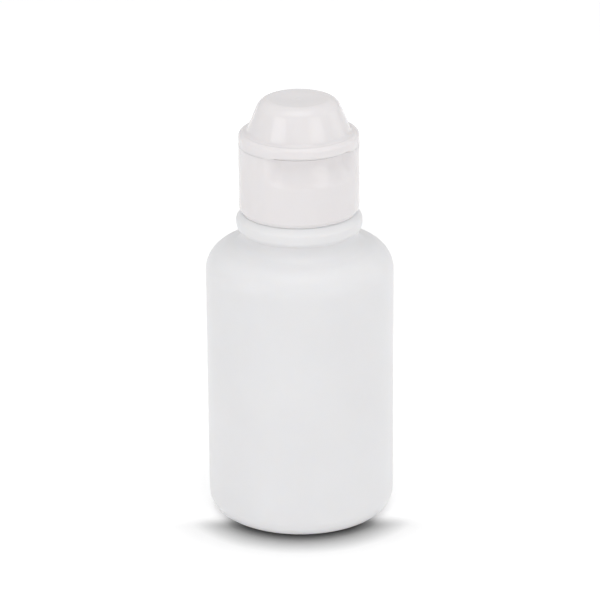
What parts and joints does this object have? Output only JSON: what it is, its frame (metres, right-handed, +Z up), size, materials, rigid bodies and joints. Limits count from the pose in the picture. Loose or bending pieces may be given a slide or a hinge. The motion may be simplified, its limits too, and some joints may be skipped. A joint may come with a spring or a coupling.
{
  "type": "flip-top squeeze bottle",
  "caption": "Round white squeeze bottle for lens cleaner, with a screw cap, a flip lid on a living hinge and a drop nozzle under it.",
  "frame": {"origin": "on the bottle's axis, in the plane that it stands on", "axes": "+Z up along the axis, -Y to the thumb recess of the cap, +Y to the lid's hinge"},
  "size_m": [0.032, 0.032, 0.074],
  "materials": {
    "bottle_plastic": "satin white HDPE, a little light passes through",
    "cap_plastic": "semi-gloss white PP",
    "nozzle_plastic": "soft milky LDPE"
  },
  "bodies": {
    "bottle": {"bottle": "bottle_plastic"},
    "nozzle": {"nozzle_insert": "nozzle_plastic"},
    "cap": {"cap_base": "cap_plastic", "living_hinge": "cap_plastic"},
    "lid": {"flip_lid": "cap_plastic"}
  },
  "joints": [
    {"name": "cap_lift", "type": "slide", "parent": "bottle", "child": "nozzle", "axis": [0, 0, 1], "range_m": [0, 0.00397]},
    {"name": "cap_turn", "type": "hinge", "parent": "nozzle", "child": "cap", "pos_m": [0, 0, 0.0551], "axis": [0, 0, 1], "range_deg": [0, 450]},
    {"name": "lid_hinge", "type": "hinge", "parent": "cap", "child": "lid", "pos_m": [0, 0.01045, 0.06616], "axis": [-1, 0, 0], "range_deg": [0, 180], "deforming": ["living_hinge"]}
  ],
  "couplings": [
    {"joint": "cap_lift", "follows": "cap_turn", "m_per_rad": 0.00050532}
  ]
}
